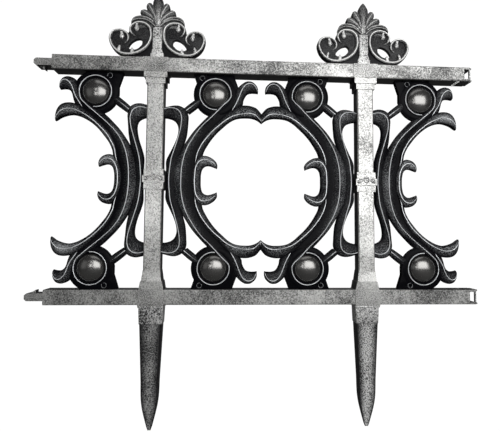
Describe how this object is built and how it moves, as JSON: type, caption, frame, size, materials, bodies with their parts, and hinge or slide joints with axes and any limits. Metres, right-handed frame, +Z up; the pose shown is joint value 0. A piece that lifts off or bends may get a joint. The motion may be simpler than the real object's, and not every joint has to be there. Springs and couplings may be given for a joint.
{
  "type": "plastic garden border fence panel",
  "caption": "Low black plastic border fence panel with scrollwork between two rails, posts with palmette finials and ground stakes, plugging into its neighbours.",
  "frame": {"origin": "midway between the posts on the flat underside of the bottom rail, which rests on the ground line", "axes": "+X along the fence from the tongues towards the sockets, +Y from the front to the back, +Z up"},
  "size_m": [0.6394, 0.025, 0.621],
  "materials": {
    "brushed_silver_plastic": "black plastic dry-brushed with antique silver, brightest on the flat fronts",
    "satin_black_plastic": "satin black plastic with thin silver lines on the raised edges",
    "gloss_black_plastic": "glossy gunmetal black plastic"
  },
  "bodies": {
    "root": {"top_rail": "brushed_silver_plastic", "bottom_rail": "brushed_silver_plastic", "left_post": "brushed_silver_plastic", "right_post": "brushed_silver_plastic", "left_stake": "brushed_silver_plastic", "right_stake": "brushed_silver_plastic", "left_finial": "brushed_silver_plastic", "right_finial": "brushed_silver_plastic", "scroll_left_outer": "satin_black_plastic", "scroll_left_inner": "satin_black_plastic", "scroll_right_inner": "satin_black_plastic", "scroll_right_outer": "satin_black_plastic", "boss_left_outer_top": "gloss_black_plastic", "boss_left_outer_bottom": "gloss_black_plastic", "boss_left_inner_top": "gloss_black_plastic", "boss_left_inner_bottom": "gloss_black_plastic", "boss_right_inner_top": "gloss_black_plastic", "boss_right_inner_bottom": "gloss_black_plastic", "boss_right_outer_top": "gloss_black_plastic", "boss_right_outer_bottom": "gloss_black_plastic"}
  },
  "joints": []
}
